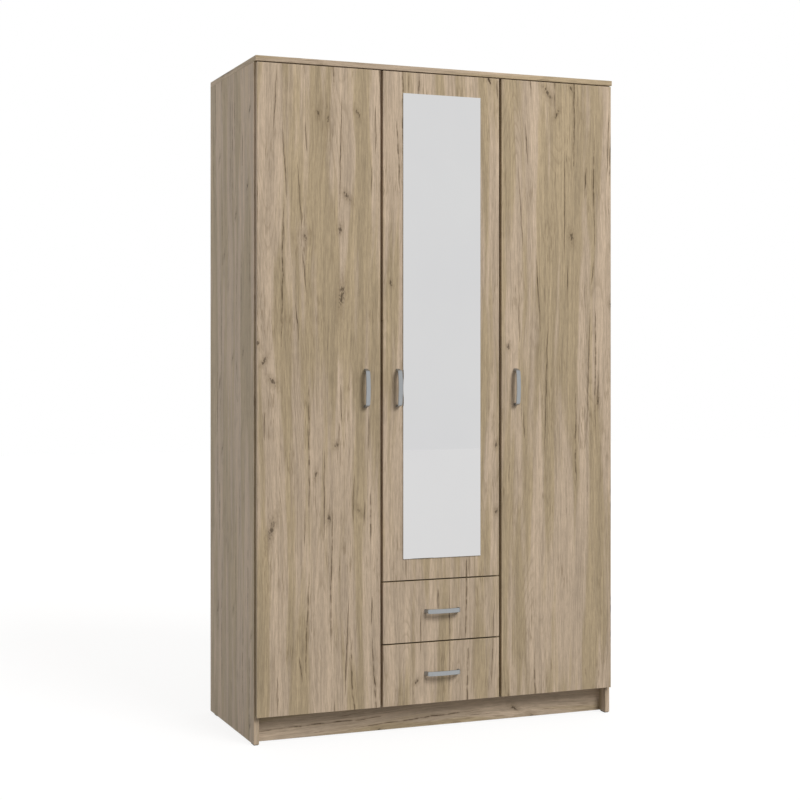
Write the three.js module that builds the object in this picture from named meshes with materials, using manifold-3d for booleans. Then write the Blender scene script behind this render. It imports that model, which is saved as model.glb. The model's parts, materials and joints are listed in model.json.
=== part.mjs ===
// Three-door wardrobe with a mirror on the middle door and two drawers under it.
// Millimetres, +Z up. The origin is the centre of the footprint on the floor; the doors face -Y.

import * as THREE from 'three';
import { mergeVertices } from 'three/addons/utils/BufferGeometryUtils.js';
import Module from 'manifold-3d';

const wasm = await Module();
wasm.setup();

// Driving dimensions of the carcass
const WIDTH = 1200;
const HEIGHT = 2050;
const CARCASS_DEPTH = 498;
const BOARD = 16;
const BACK_THICKNESS = 3;
const BACK_INSET = 1;
const TOP_SETBACK = 1;
const SEAT_GAP = 0.3;
const BAY_PITCH = 400;
const GLIDE_HEIGHT = 3;
const GLIDE_LENGTH = 28;
const GLIDE_WIDTH = 14;
const GLIDE_SETBACK_FRONT = 5;
const GLIDE_SETBACK_REAR = 45;
const PLINTH_HEIGHT = 80;
const PLINTH_SETBACK = 38;

// Doors and drawer fronts
const FRONT_THICKNESS = 16;
const FRONT_CLEARANCE = 2;
const FRONT_WIDTH = 391;
const FRONT_BOTTOM = 86;
const FRONT_TOP = 2030.5;
const FRONT_GAP = 4;
const DRAWER_FRONT_HEIGHT = 188;
const MIRROR_MARGIN = 65;
const MIRROR_THICKNESS = 4;

// Bow handles
const HANDLE = {
  projection: 27,
  halfLength: 59,
  width: 14,
  bar: 4.5,
  bow: 2.5,
  footLength: 10,
  lean: 2.5,
  corner: 5,
  edgeRound: 1,
};
const DOOR_HANDLE_INSET = 48;
const DOOR_HANDLE_HEIGHT = 1061;

// Concealed cup hinges
const CUP_RADIUS = 17.5;
const CUP_DEPTH = 11.5;
const CUP_WALL = 2;
const CUP_FLOOR = 1;
const CUP_FROM_EDGE = 21.5;
const CUP_BORE_DEPTH = 12;
const CUP_FLANGE_RADIUS = 19;
const CUP_FLANGE_THICKNESS = 0.7;
const CUP_WING_LENGTH = 62;
const CUP_WING_WIDTH = 14;
const CUP_WING_OFFSET = 8;
const HINGE_END_DISTANCE = 100;
const HINGE_PLATE = { thickness: 4, front: 26, rear: 48, height: 52 };

// Side outline of a hinge arm: its end spans the cup's centre, its spine stands off the wall
const HINGE_ARM = {
  width: 14,
  front: 1.5,
  shortOfCup: 6,
  pastCup: 7,
  noseFlare: 2,
  noseDepth: 12,
  spineHeight: 17,
  spineDepth: 46,
  tailHeight: 12,
  length: 58,
  overlap: 1,
  underside: 20,
};
const ROUND_SEGMENTS = 20;
const CUT_OVERSHOOT = 1;

// Interior
const SHELF_SETBACK = 12;
const HAT_SHELF_HEIGHT = 1718;
const RAIL_RADIUS = 12.5;
const RAIL_WALL = 1;
const RAIL_DROP = 45;
const RAIL_END_GAP = 1;
const RAIL_SEGMENTS = 24;

// Drawer boxes
const DRAWER_SIDE = 12;
const DRAWER_SIDE_CLEARANCE = 3;
const DRAWER_HEIGHT = 120;
const DRAWER_LENGTH = 450;
const DRAWER_RAISE = 24;
const DRAWER_BOTTOM_RAISE = 10;
const DRAWER_BOTTOM_THICKNESS = 3;
const SLOT_DEPTH = 6;
const GROOVE_HEIGHT = 14;
const GROOVE_DEPTH = 7;
const RUNNER_HEIGHT = 12;
const RUNNER_THICKNESS = 9;
const RUNNER_START = 10;
const RUNNER_LENGTH = 430;

// Planes worked out from the dimensions above
const depth = CARCASS_DEPTH + FRONT_CLEARANCE + FRONT_THICKNESS + HANDLE.projection;
const backY = depth / 2;
const boardBackY = backY - BACK_THICKNESS;
const carcassFrontY = backY - CARCASS_DEPTH;
const frontRearY = carcassFrontY - FRONT_CLEARANCE;
const frontFaceY = frontRearY - FRONT_THICKNESS;
const sideX = WIDTH / 2;
const sideInnerX = sideX - BOARD;
const partitionX = BAY_PITCH / 2;
const bayHalf = partitionX - BOARD / 2;
const topUnderside = HEIGHT - BOARD;
const bottomUnderside = GLIDE_HEIGHT + PLINTH_HEIGHT;
const bottomTop = bottomUnderside + BOARD;
const upperDrawerBottom = FRONT_BOTTOM + DRAWER_FRONT_HEIGHT + FRONT_GAP;
const middleDoorBottom = upperDrawerBottom + DRAWER_FRONT_HEIGHT + FRONT_GAP;
const deckUnderside = middleDoorBottom - FRONT_GAP / 2 - BOARD / 2;
const deckTop = deckUnderside + BOARD;

// Materials
const finish = (color, roughness, metalness) => new THREE.MeshStandardMaterial({ color, roughness, metalness });
const oak = finish(0xa89883, 0.6, 0);
const backboard = finish(0xc9bda6, 0.8, 0);
const drawerBoard = finish(0xa89985, 0.6, 0);
const mirrorGlass = finish(0xd8d8d8, 0.05, 1);
const satinMetal = finish(0xa5a9aa, 0.35, 1);
const steel = finish(0xb5b8ba, 0.3, 1);
const darkPlastic = finish(0x2b2a28, 0.6, 0);
const whitePlastic = finish(0xe4e2dc, 0.5, 0);

const wardrobe = new THREE.Group();

function add(name, geometry, material) {
  const mesh = new THREE.Mesh(geometry, material);
  mesh.name = name;
  wardrobe.add(mesh);
  return mesh;
}

// A board between two corners, given as [low, high] along each axis
function board(x, y, z) {
  const size = [x, y, z].map(([low, high]) => high - low);
  const centre = [x, y, z].map(([low, high]) => (low + high) / 2);
  return new THREE.BoxGeometry(...size).translate(...centre);
}

// Turns a closed geometry into a solid that can be joined and cut
function solid(geometry) {
  const bare = geometry.clone();
  bare.deleteAttribute('normal');
  bare.deleteAttribute('uv');
  const merged = mergeVertices(bare, 1e-3);
  const vertProperties = new Float32Array(merged.attributes.position.array);
  const triVerts = new Uint32Array(merged.index.array);
  return new wasm.Manifold(new wasm.Mesh({ numProp: 3, vertProperties, triVerts }));
}

function geometryOf(manifold) {
  const mesh = manifold.getMesh();
  const geometry = new THREE.BufferGeometry();
  geometry.setAttribute('position', new THREE.BufferAttribute(mesh.vertProperties, 3));
  geometry.setIndex(new THREE.BufferAttribute(mesh.triVerts, 1));
  geometry.computeVertexNormals();
  return geometry;
}

// A cylinder along Y between two planes
function cylinderY(radius, x, z, [low, high]) {
  const geometry = new THREE.CylinderGeometry(radius, radius, high - low, ROUND_SEGMENTS);
  return geometry.translate(x, (low + high) / 2, z);
}

// ---- Carcass ----

const fullDepth = [carcassFrontY, boardBackY];
const sideZ = [GLIDE_HEIGHT, topUnderside];
add('side_panel_left', board([-sideX, -sideInnerX], fullDepth, sideZ), oak);
add('side_panel_right', board([sideInnerX, sideX], fullDepth, sideZ), oak);

const topFrontY = frontFaceY + TOP_SETBACK;
add('top_panel', board([-sideX, sideX], [topFrontY, boardBackY], [topUnderside, HEIGHT]), oak);
add('bottom_panel', board([-sideInnerX, sideInnerX], fullDepth, [bottomUnderside, bottomTop]), oak);

for (const [side, sign] of [['left', -1], ['right', 1]]) {
  const centre = sign * partitionX;
  const x = [centre - BOARD / 2, centre + BOARD / 2];
  add(`partition_${side}`, board(x, fullDepth, [bottomTop, topUnderside]), oak);
}

const plinthY = carcassFrontY + PLINTH_SETBACK;
add(
  'plinth_front',
  board([-sideInnerX, sideInnerX], [plinthY, plinthY + BOARD], [GLIDE_HEIGHT, bottomUnderside]),
  oak,
);

// One folded hardboard sheet nailed to the rear edges
add(
  'back_panel',
  board(
    [BACK_INSET - sideX, sideX - BACK_INSET],
    [boardBackY + SEAT_GAP, backY],
    [bottomUnderside + BACK_INSET, HEIGHT - BACK_INSET],
  ),
  backboard,
);

// Nail-on glides under the two side panels
for (const [side, sign] of [['left', -1], ['right', 1]]) {
  const centre = sign * (sideX - BOARD / 2);
  const x = [centre - GLIDE_WIDTH / 2, centre + GLIDE_WIDTH / 2];
  const frontStart = carcassFrontY + GLIDE_SETBACK_FRONT;
  const rearStart = boardBackY - GLIDE_SETBACK_REAR - GLIDE_LENGTH;
  for (const [end, start] of [['front', frontStart], ['rear', rearStart]]) {
    add(`glide_${end}_${side}`, board(x, [start, start + GLIDE_LENGTH], [0, GLIDE_HEIGHT]), darkPlastic);
  }
}

// ---- Interior ----

const shelfY = [carcassFrontY + SHELF_SETBACK, boardBackY];
const outerBays = [
  ['left', [-sideInnerX, -partitionX - BOARD / 2]],
  ['right', [partitionX + BOARD / 2, sideInnerX]],
];

function railGeometry([low, high]) {
  const ring = new THREE.Shape().absarc(0, 0, RAIL_RADIUS, 0, 2 * Math.PI);
  ring.holes.push(new THREE.Path().absarc(0, 0, RAIL_RADIUS - RAIL_WALL, 0, 2 * Math.PI, true));
  const length = high - low - 2 * RAIL_END_GAP;
  const tube = new THREE.ExtrudeGeometry(ring, {
    depth: length,
    bevelEnabled: false,
    curveSegments: RAIL_SEGMENTS,
  });
  const middleY = (carcassFrontY + boardBackY) / 2;
  return tube.rotateY(Math.PI / 2).translate(low + RAIL_END_GAP, middleY, HAT_SHELF_HEIGHT - RAIL_DROP);
}

for (const [side, x] of outerBays) {
  add(`hat_shelf_${side}`, board(x, shelfY, [HAT_SHELF_HEIGHT, HAT_SHELF_HEIGHT + BOARD]), oak);
  add(`hanging_rail_${side}`, railGeometry(x), steel);
}

const middleX = [-bayHalf, bayHalf];
add('drawer_deck', board(middleX, fullDepth, [deckUnderside, deckTop]), oak);

const shelfNames = ['middle_shelf_lower', 'middle_shelf_upper'];
const shelfSpace = (topUnderside - deckTop - shelfNames.length * BOARD) / (shelfNames.length + 1);
shelfNames.forEach((name, index) => {
  const z = Math.round(deckTop + (index + 1) * shelfSpace + index * BOARD);
  add(name, board(middleX, shelfY, [z, z + BOARD]), oak);
});

// ---- Handles ----

// Bow handle seen from its side: length along X, standing out along Y from the face at Y = 0
function handleGeometry() {
  const { halfLength, width, bar, lean, corner, edgeRound } = HANDLE;
  const foot = SEAT_GAP;
  const innerHalf = halfLength - HANDLE.footLength;
  const outerHalf = halfLength - lean;
  const shoulder = HANDLE.projection - HANDLE.bow;
  const crown = HANDLE.projection + HANDLE.bow;
  const outline = new THREE.Shape();
  outline.moveTo(-halfLength, foot);
  outline.lineTo(-innerHalf, foot);
  outline.lineTo(-innerHalf, shoulder - bar - corner);
  outline.quadraticCurveTo(-innerHalf, shoulder - bar, corner - innerHalf, shoulder - bar);
  outline.quadraticCurveTo(0, crown - bar, innerHalf - corner, shoulder - bar);
  outline.quadraticCurveTo(innerHalf, shoulder - bar, innerHalf, shoulder - bar - corner);
  outline.lineTo(innerHalf, foot);
  outline.lineTo(halfLength, foot);
  outline.lineTo(outerHalf, shoulder - corner);
  outline.quadraticCurveTo(outerHalf, shoulder, outerHalf - corner, shoulder);
  outline.quadraticCurveTo(0, crown, corner - outerHalf, shoulder);
  outline.quadraticCurveTo(-outerHalf, shoulder, -outerHalf, shoulder - corner);
  outline.closePath();
  const solidBar = new THREE.ExtrudeGeometry(outline, {
    depth: width - 2 * edgeRound,
    bevelThickness: edgeRound,
    bevelSize: edgeRound,
    bevelOffset: -edgeRound,
    bevelSegments: 1,
    curveSegments: 6,
  });
  return solidBar.translate(0, 0, edgeRound - width / 2);
}

// Turned so that the bow faces -Y; lying along X, or standing along Z when upright
function addHandle(name, x, z, upright) {
  const geometry = handleGeometry().rotateZ(Math.PI);
  if (upright) {
    geometry.rotateY(Math.PI / 2);
  }
  add(name, geometry.translate(x, frontFaceY, z), satinMetal);
}

// ---- Doors ----

// Each door: bay centre, lower edge, side of the hinges (-1 left, 1 right), wall that carries the arms
const doors = [
  { name: 'left', centre: -BAY_PITCH, bottom: FRONT_BOTTOM, hinge: -1, wallX: -sideInnerX },
  { name: 'middle', centre: 0, bottom: middleDoorBottom, hinge: 1, wallX: bayHalf },
  { name: 'right', centre: BAY_PITCH, bottom: FRONT_BOTTOM, hinge: 1, wallX: sideInnerX },
];

function cupGeometry(cupX, z, hinge) {
  const seat = frontRearY + SEAT_GAP;
  const flange = [seat, seat + CUP_FLANGE_THICKNESS];
  const wingX = cupX - hinge * CUP_WING_OFFSET;
  const wing = board(
    [wingX - CUP_WING_WIDTH / 2, wingX + CUP_WING_WIDTH / 2],
    flange,
    [z - CUP_WING_LENGTH / 2, z + CUP_WING_LENGTH / 2],
  );
  const floorY = frontRearY - CUP_DEPTH;
  const body = cylinderY(CUP_RADIUS, cupX, z, [floorY, flange[1]]);
  const pocketY = [floorY + CUP_FLOOR, flange[1] + CUT_OVERSHOOT];
  const pocket = cylinderY(CUP_RADIUS - CUP_WALL, cupX, z, pocketY);
  const rim = cylinderY(CUP_FLANGE_RADIUS, cupX, z, flange);
  return geometryOf(solid(body).add(solid(rim)).add(solid(wing)).subtract(solid(pocket)));
}

// Mounting plate and arm; reach is the distance from the wall to the cup's centre
function armGeometry(wallX, inward, reach, z) {
  const plate = HINGE_PLATE;
  const at = (distance) => wallX + inward * distance;
  const plateX = [at(SEAT_GAP), at(plate.thickness)].sort((a, b) => a - b);
  const base = board(
    plateX,
    [carcassFrontY + plate.front, carcassFrontY + plate.rear],
    [z - plate.height / 2, z + plate.height / 2],
  );
  const shape = HINGE_ARM;
  const tip = reach + shape.pastCup;
  const foot = plate.thickness - shape.overlap;
  const outline = [
    [reach - shape.shortOfCup, shape.front],
    [tip, shape.front],
    [tip + shape.noseFlare, shape.noseDepth],
    [shape.spineHeight, shape.spineDepth],
    [shape.tailHeight, shape.length],
    [foot, shape.length],
    [foot, shape.underside],
  ];
  const corners = outline.map(([out, back]) => new THREE.Vector2(at(out), carcassFrontY + back));
  const profile = new THREE.Shape(corners);
  const arm = new THREE.ExtrudeGeometry(profile, { depth: shape.width, bevelEnabled: false });
  arm.translate(0, 0, z - shape.width / 2);
  return geometryOf(solid(base).add(solid(arm)));
}

for (const door of doors) {
  const hingeEdgeX = door.centre + (door.hinge * FRONT_WIDTH) / 2;
  const cupX = hingeEdgeX - door.hinge * CUP_FROM_EDGE;
  const x = [door.centre - FRONT_WIDTH / 2, door.centre + FRONT_WIDTH / 2];
  let panel = solid(board(x, [frontFaceY, frontRearY], [door.bottom, FRONT_TOP]));
  const heights = {
    bottom: door.bottom + HINGE_END_DISTANCE,
    centre: (door.bottom + FRONT_TOP) / 2,
    top: FRONT_TOP - HINGE_END_DISTANCE,
  };
  const boreY = [frontRearY - CUP_BORE_DEPTH, frontRearY + CUT_OVERSHOOT];
  for (const [place, z] of Object.entries(heights)) {
    const bore = cylinderY(CUP_RADIUS + SEAT_GAP, cupX, z, boreY);
    panel = panel.subtract(solid(bore));
    add(`hinge_cup_${door.name}_${place}`, cupGeometry(cupX, z, door.hinge), steel);
    const reach = Math.abs(door.wallX - cupX);
    add(`hinge_arm_${door.name}_${place}`, armGeometry(door.wallX, -door.hinge, reach, z), steel);
  }
  add(`door_panel_${door.name}`, geometryOf(panel), oak);
  const handleX = door.centre - door.hinge * (FRONT_WIDTH / 2 - DOOR_HANDLE_INSET);
  addHandle(`door_handle_${door.name}`, handleX, DOOR_HANDLE_HEIGHT, true);
}

// Mirror glued to the face of the middle door
const mirrorHalf = FRONT_WIDTH / 2 - MIRROR_MARGIN;
add(
  'mirror',
  board(
    [-mirrorHalf, mirrorHalf],
    [frontFaceY - MIRROR_THICKNESS, frontFaceY - SEAT_GAP],
    [middleDoorBottom + MIRROR_MARGIN, FRONT_TOP - MIRROR_MARGIN],
  ),
  mirrorGlass,
);

// ---- Drawers ----

// Cross-section of the right-hand drawer side: runner groove outside, slot for the bottom inside
function drawerSideGeometry(sign, z) {
  const outer = bayHalf - DRAWER_SIDE_CLEARANCE;
  const inner = outer - DRAWER_SIDE;
  const grooveLow = (DRAWER_HEIGHT - GROOVE_HEIGHT) / 2;
  const slotHigh = DRAWER_BOTTOM_RAISE + DRAWER_BOTTOM_THICKNESS + 2 * SEAT_GAP;
  const section = [
    [inner, 0],
    [outer, 0],
    [outer, grooveLow],
    [outer - GROOVE_DEPTH, grooveLow],
    [outer - GROOVE_DEPTH, grooveLow + GROOVE_HEIGHT],
    [outer, grooveLow + GROOVE_HEIGHT],
    [outer, DRAWER_HEIGHT],
    [inner, DRAWER_HEIGHT],
    [inner, slotHigh],
    [inner + SLOT_DEPTH, slotHigh],
    [inner + SLOT_DEPTH, DRAWER_BOTTOM_RAISE],
    [inner, DRAWER_BOTTOM_RAISE],
  ];
  const shape = new THREE.Shape(section.map(([x, up]) => new THREE.Vector2(sign * x, up)));
  const side = new THREE.ExtrudeGeometry(shape, { depth: DRAWER_LENGTH, bevelEnabled: false });
  return side.rotateX(Math.PI / 2).translate(0, frontRearY + DRAWER_LENGTH, z);
}

function addDrawer(name, frontBottom) {
  const z = frontBottom + DRAWER_RAISE;
  const inner = bayHalf - DRAWER_SIDE_CLEARANCE - DRAWER_SIDE;
  const rearY = frontRearY + DRAWER_LENGTH;
  const bottomZ = z + DRAWER_BOTTOM_RAISE + SEAT_GAP;
  const bottomHalf = inner + SLOT_DEPTH - SEAT_GAP;
  const frontX = [-FRONT_WIDTH / 2, FRONT_WIDTH / 2];
  const frontZ = [frontBottom, frontBottom + DRAWER_FRONT_HEIGHT];
  add(`drawer_${name}_front`, board(frontX, [frontFaceY, frontRearY], frontZ), oak);
  add(`drawer_${name}_side_left`, drawerSideGeometry(-1, z), drawerBoard);
  add(`drawer_${name}_side_right`, drawerSideGeometry(1, z), drawerBoard);
  add(
    `drawer_${name}_bottom`,
    board(
      [-bottomHalf, bottomHalf],
      [frontRearY + SEAT_GAP, rearY],
      [bottomZ, bottomZ + DRAWER_BOTTOM_THICKNESS],
    ),
    backboard,
  );
  const backZ = [bottomZ + DRAWER_BOTTOM_THICKNESS + SEAT_GAP, z + DRAWER_HEIGHT];
  add(`drawer_${name}_back`, board([-inner, inner], [rearY - DRAWER_SIDE, rearY], backZ), drawerBoard);
  addHandle(`drawer_${name}_handle`, 0, frontBottom + DRAWER_FRONT_HEIGHT / 2, false);

  // Runner strips on the partitions, in the grooves of the drawer sides
  const runnerZ = z + (DRAWER_HEIGHT - RUNNER_HEIGHT) / 2;
  const runnerY = [carcassFrontY + RUNNER_START, carcassFrontY + RUNNER_START + RUNNER_LENGTH];
  for (const [side, sign] of [['left', -1], ['right', 1]]) {
    const x = [sign * bayHalf, sign * (bayHalf - RUNNER_THICKNESS)].sort((a, b) => a - b);
    add(`runner_${name}_${side}`, board(x, runnerY, [runnerZ, runnerZ + RUNNER_HEIGHT]), whitePlastic);
  }
}

addDrawer('upper', upperDrawerBottom);
addDrawer('lower', FRONT_BOTTOM);

export default wardrobe;
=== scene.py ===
"""Looks of a three-door wardrobe with a mirror, two drawers and bow handles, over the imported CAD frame.

Metres, +Z up, doors towards -Y. Places come from the frame. Sizes of small hardware are named below.
"""

import json
import math

import bmesh
import bpy
from mathutils import Matrix, Vector


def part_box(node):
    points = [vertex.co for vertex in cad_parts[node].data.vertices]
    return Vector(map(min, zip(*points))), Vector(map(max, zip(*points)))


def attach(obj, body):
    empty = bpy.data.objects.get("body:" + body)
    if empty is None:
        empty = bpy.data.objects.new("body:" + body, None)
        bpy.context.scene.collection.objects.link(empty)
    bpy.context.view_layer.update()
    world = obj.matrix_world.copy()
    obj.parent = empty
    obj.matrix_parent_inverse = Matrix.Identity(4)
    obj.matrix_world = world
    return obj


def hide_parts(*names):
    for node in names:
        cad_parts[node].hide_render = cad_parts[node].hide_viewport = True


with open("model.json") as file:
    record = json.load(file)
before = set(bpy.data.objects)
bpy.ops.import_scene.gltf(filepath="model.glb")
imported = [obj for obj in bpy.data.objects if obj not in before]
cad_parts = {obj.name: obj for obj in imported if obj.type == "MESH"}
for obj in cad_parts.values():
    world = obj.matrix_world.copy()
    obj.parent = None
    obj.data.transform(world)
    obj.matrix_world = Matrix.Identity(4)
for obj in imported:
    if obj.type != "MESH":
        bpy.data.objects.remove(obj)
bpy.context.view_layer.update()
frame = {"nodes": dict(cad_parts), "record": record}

MM = 0.001
RECORD = frame["record"]
BODY_OF = {node: body for body, nodes in RECORD["behaviour"]["bodies"].items() for node in nodes}

# ---- camera and studio

CAMERA_PLACE = (-1.9501, -4.7677, 1.1556)
CAMERA_YAW = 21.81
CAMERA_LENS = 71.49
CAMERA_SHIFT_UP = -0.05375
SUN_STRENGTH = 1.93
SUN_ANGLE = 24
SUN_FROM = (0.38, -1.0, 0.85)
LAMP_POWER = 26.0
LAMP_SIZE = 1.0
LAMP_PLACE = (1.3, -2.6, 3.1)
LAMP_AIM = (0.25, -0.27, 1.7)
FLOOR_HALF = 14.0
FLOOR_COLOUR = (0.15, 0.15, 0.15, 1.0)
FLOOR_ROUGHNESS = 0.9
FLOOR_GLOW = 0.84
FILL_COLOUR = (0.54, 0.504, 0.462, 1.0)
WHITE = (1.0, 1.0, 1.0, 1.0)


def make_camera():
    data = bpy.data.cameras.new("camera")
    data.lens = CAMERA_LENS
    data.sensor_width = 36.0
    data.shift_y = CAMERA_SHIFT_UP
    data.clip_end = 100.0
    camera = bpy.data.objects.new("camera", data)
    camera.location = CAMERA_PLACE
    camera.rotation_euler = (math.radians(90), 0, math.radians(-CAMERA_YAW))
    bpy.context.scene.collection.objects.link(camera)
    bpy.context.scene.camera = camera


def add_light(data, place, backwards):
    """A light that mirrors don't show; backwards points from what it lights to the light."""
    light = bpy.data.objects.new(data.name, data)
    light.location = place
    light.visible_glossy = False
    light.rotation_euler = backwards.to_track_quat("Z", "Y").to_euler()
    bpy.context.scene.collection.objects.link(light)


def make_studio():
    scene = bpy.context.scene
    scene.view_settings.view_transform = "Standard"
    world = bpy.data.worlds.new("studio")
    world.use_nodes = True
    background = world.node_tree.nodes["Background"]
    graph = Graph(world.node_tree)
    matt = graph.node("ShaderNodeLightPath").outputs["Is Diffuse Ray"]
    graph.put(background.inputs["Color"], graph.mix(matt, WHITE, FILL_COLOUR))
    scene.world = world

    sun = bpy.data.lights.new("key", "SUN")
    sun.energy = SUN_STRENGTH
    sun.angle = math.radians(SUN_ANGLE)
    add_light(sun, (0, 0, 0), Vector(SUN_FROM))
    area = bpy.data.lights.new("lamp", "AREA")
    area.energy = LAMP_POWER
    area.size = LAMP_SIZE
    add_light(area, LAMP_PLACE, Vector(LAMP_PLACE) - Vector(LAMP_AIM))

    mesh = bpy.data.meshes.new("floor")
    half = FLOOR_HALF
    corners = [(-half, -half, 0), (half, -half, 0), (half, half, 0), (-half, half, 0)]
    mesh.from_pydata(corners, [], [(0, 1, 2, 3)])
    floor = bpy.data.objects.new("floor", mesh)
    scene.collection.objects.link(floor)
    material = bpy.data.materials.new("floor_paint")
    material.use_nodes = True
    shader = material.node_tree.nodes["Principled BSDF"]
    shader.inputs["Base Color"].default_value = FLOOR_COLOUR
    shader.inputs["Roughness"].default_value = FLOOR_ROUGHNESS
    shader.inputs["Emission Color"].default_value = WHITE
    graph = Graph(material.node_tree)
    matt = graph.node("ShaderNodeLightPath").outputs["Is Diffuse Ray"]
    graph.put(shader.inputs["Emission Strength"], graph.math("MULTIPLY_ADD", matt, -FLOOR_GLOW, FLOOR_GLOW))
    mesh.materials.append(material)


# ---- material helpers


def srgb(red, green, blue):
    """A display colour, 0 to 255, as the linear colour that shaders take."""

    def linear(value):
        value /= 255
        return value / 12.92 if value <= 0.04045 else ((value + 0.055) / 1.055) ** 2.4

    return (linear(red), linear(green), linear(blue), 1.0)


class Graph:
    """Short names for adding shader nodes. A socket takes a number, a tuple or another socket."""

    def __init__(self, tree):
        self.tree = tree

    def put(self, socket, value):
        if isinstance(value, bpy.types.NodeSocket):
            self.tree.links.new(value, socket)
        elif value is not None:
            socket.default_value = value

    def node(self, kind, values=None, **settings):
        made = self.tree.nodes.new(kind)
        for name, value in settings.items():
            setattr(made, name, value)
        for name, value in (values or {}).items():
            self.put(made.inputs[name], value)
        return made

    def math(self, operation, first, second=None, third=None, clamp=False):
        made = self.node("ShaderNodeMath", operation=operation, use_clamp=clamp)
        for socket, value in zip(made.inputs, (first, second, third)):
            self.put(socket, value)
        return made.outputs[0]

    def over(self, first, second):
        return self.math("DIVIDE", first, second)

    def plus(self, first, second):
        return self.math("ADD", first, second)

    def times(self, first, second):
        return self.math("MULTIPLY", first, second)

    def swing(self, value, size):
        """A value from 0 to 1 as a swing about zero, of this size from end to end."""
        return self.times(self.math("SUBTRACT", value, 0.5), size)

    def vector(self, x, y, z=0.0):
        return self.node("ShaderNodeCombineXYZ", {"X": x, "Y": y, "Z": z}).outputs[0]

    def grey(self, value):
        return self.vector(value, value, value)

    def split(self, vector):
        return self.node("ShaderNodeSeparateXYZ", {0: vector}).outputs

    def noise(self, vector, detail=2.0, roughness=0.5):
        """Noise in two dimensions."""
        values = {"Vector": vector, "Scale": 1.0, "Detail": detail, "Roughness": roughness}
        return self.node("ShaderNodeTexNoise", values, noise_dimensions="2D").outputs[0]

    def cells(self, vector):
        """Voronoi cells: (offset from the cell's centre, the cell's random colour)."""
        values = {"Vector": vector, "Scale": 1.0}
        made = self.node("ShaderNodeTexVoronoi", values, voronoi_dimensions="2D")
        ends = {0: vector, 1: made.outputs["Position"]}
        offset = self.node("ShaderNodeVectorMath", ends, operation="SUBTRACT")
        return offset.outputs[0], made.outputs["Color"]

    def smooth(self, value, start, end, low=0.0, high=1.0):
        """Runs from low to high as the value runs from start to end."""
        values = {"Value": value, "From Min": start, "From Max": end, "To Min": low, "To Max": high}
        return self.node("ShaderNodeMapRange", values, interpolation_type="SMOOTHSTEP").outputs[0]

    def mix(self, factor, first, second, blend="MIX"):
        made = self.node("ShaderNodeMix", data_type="RGBA", blend_type=blend)
        self.put(made.inputs[0], factor)
        self.put(made.inputs[6], first)
        self.put(made.inputs[7], second)
        return made.outputs[2]

    def coat(self, shader, colour, roughness):
        self.put(shader.inputs["Base Color"], colour)
        self.put(shader.inputs["Roughness"], roughness)

    def bump(self, shader, height, strength, distance):
        """Gives the shader a relief of this strength and depth."""
        values = {"Height": height, "Strength": strength, "Distance": distance}
        self.put(shader.inputs["Normal"], self.node("ShaderNodeBump", values).outputs[0])

    def texture(self, vector, scale, detail, **values):
        """Noise in three dimensions."""
        values = {"Vector": vector, "Scale": scale, "Detail": detail, **values}
        return self.node("ShaderNodeTexNoise", values).outputs[0]

    def ramp(self, factor, stops):
        made = self.node("ShaderNodeValToRGB", {"Fac": factor})
        elements = made.color_ramp.elements
        while len(elements) < len(stops):
            elements.new(0.5)
        for element, (place, colour) in zip(elements, stops):
            element.position = place
            element.color = colour
        return made.outputs[0]


def new_material(name):
    """A new material with its graph, its shader and the Object coordinates."""
    material = bpy.data.materials.new(name)
    material.use_nodes = True
    graph = Graph(material.node_tree)
    place = graph.node("ShaderNodeTexCoord").outputs["Object"]
    return material, graph, material.node_tree.nodes["Principled BSDF"], place


# ---- greyish oak laminate

OAK_PINK = srgb(182, 164, 143)
OAK_OLIVE = srgb(166, 149, 122)
OAK_DARK = srgb(121, 105, 81)
CRACK = srgb(66, 51, 34)
KNOT = srgb(60, 46, 31)
HARDBOARD_DARK = srgb(136, 110, 78)

# Marks that stand out on the fronts, in millimetres of the wardrobe's own frame.
# A split is (x of its top, top, x of its foot, foot, width); a knot is (x, height, width, height, lean).
FRONT_SPLITS = (
    (-535, 2030, -545, 1825, 3), (-517, 1860, -504, 1620, 3.6), (-472, 1740, -454, 1530, 3.2),
    (-446, 1865, -441, 1770, 3.4), (-330, 1960, -336, 1570, 3.2), (-220, 1925, -221, 1770, 3),
    (-233, 1740, -235, 1650, 2.6), (-454, 1470, -442, 1345, 3.4), (-476, 1320, -466, 1200, 3.2),
    (-334, 1075, -331, 960, 3.6), (-338, 960, -338, 900, 2.6), (-242, 985, -244, 870, 3),
    (-574, 995, -573, 905, 3.4), (-384, 880, -385, 600, 3.4), (-447, 705, -448, 585, 2.6),
    (-290, 800, -294, 645, 3), (-254, 722, -260, 640, 3.2), (-307, 425, -319, 125, 4),
    (-465, 262, -455, 180, 4.2), (-533, 206, -533, 86, 2.6), (-231, 430, -235, 335, 3.6),
    (287, 1900, 296, 1760, 3.4), (263, 1760, 280, 1480, 2.8), (427, 1815, 427, 1455, 3.8),
    (505, 1768, 501, 1690, 4.6), (589, 1960, 580, 1715, 3.4), (326, 1480, 341, 1225, 4),
    (368, 1290, 355, 840, 4.2), (519, 1308, 507, 890, 3.6), (548, 1115, 548, 985, 4.6),
    (264, 1330, 267, 1200, 3), (439, 1470, 436, 1310, 2.8), (534, 1470, 523, 1385, 3.8),
    (282, 985, 283, 895, 3.6), (-110, 2030, -110, 1965, 3), (188, 2028, 188, 1965, 3.4),
    (-120, 550, -120, 470, 2.8), (92, 540, 93, 470, 3), (-13, 440, -13, 372, 4.6),
    (26, 452, 26, 118, 3.2), (-70, 382, -71, 235, 3), (179, 395, 168, 108, 3.2),
)
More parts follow.
